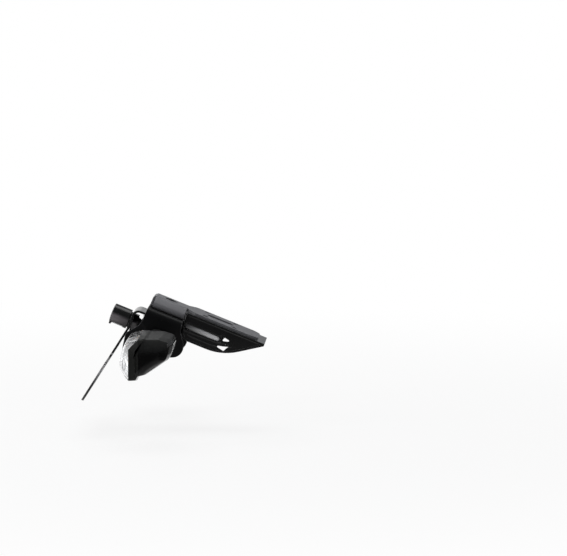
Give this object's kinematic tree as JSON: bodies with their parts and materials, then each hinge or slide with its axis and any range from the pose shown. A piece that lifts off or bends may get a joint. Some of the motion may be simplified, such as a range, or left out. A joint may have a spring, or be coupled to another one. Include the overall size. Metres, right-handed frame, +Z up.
{
  "type": "motorcycle tail tidy",
  "caption": "Folded sheet bracket under a motorcycle tail with a number plate panel, a plate lamp, an indicator on each side and a small moulded tray",
  "frame": {"origin": "centre of the four subframe holes on the upper face of the mount bracket", "axes": "+X forward, +Y to the machine's left, +Z up, as fitted to the bike"},
  "size_m": [0.189, 0.3302, 0.1031],
  "materials": {
    "bracket_black": "satin black powder coat on steel sheet",
    "bolt_steel": "dark zinc plate",
    "nut_steel": "bright zinc plate",
    "spacer_aluminium": "machined",
    "rubber_black": "moulded, matt",
    "lamp_black": "gloss black moulding",
    "moulding_black": "gloss black moulding",
    "insert_grey": "light grey, satin",
    "lens_clear": "clear polycarbonate",
    "reflector_silver": "metallised moulding",
    "bulb_amber": "amber glass",
    "board_green": "solder mask over fibreglass",
    "led_yellow": "phosphor over a white base"
  },
  "bodies": {
    "root": {"mount_bracket": "bracket_black", "saddle_bracket": "bracket_black", "bracket_bolts": "bolt_steel", "bracket_nuts": "nut_steel", "bracket_spacers": "spacer_aluminium", "wiring_grommet": "rubber_black", "plate_hanger": "bracket_black", "lamp_housing": "lamp_black", "lamp_window": "lens_clear", "lamp_board": "board_green", "lamp_leds": "led_yellow", "lamp_gasket": "rubber_black", "lamp_nut": "lamp_black", "lamp_gland": "rubber_black", "under_tail_tray": "moulding_black", "tray_insert_right": "insert_grey", "tray_insert_left": "insert_grey", "tray_screws": "bolt_steel", "indicator_housing_right": "moulding_black", "indicator_lens_right": "lens_clear", "indicator_reflector_right": "reflector_silver", "indicator_bulb_right": "bulb_amber", "indicator_bulb_holder_right": "spacer_aluminium", "indicator_stalk_right": "rubber_black", "indicator_stud_right": "nut_steel", "indicator_washer_right": "nut_steel", "indicator_nut_right": "nut_steel", "indicator_housing_left": "moulding_black", "indicator_lens_left": "lens_clear", "indicator_reflector_left": "reflector_silver", "indicator_bulb_left": "bulb_amber", "indicator_bulb_holder_left": "spacer_aluminium", "indicator_stalk_left": "rubber_black", "indicator_stud_left": "nut_steel", "indicator_washer_left": "nut_steel", "indicator_nut_left": "nut_steel"}
  },
  "joints": []
}
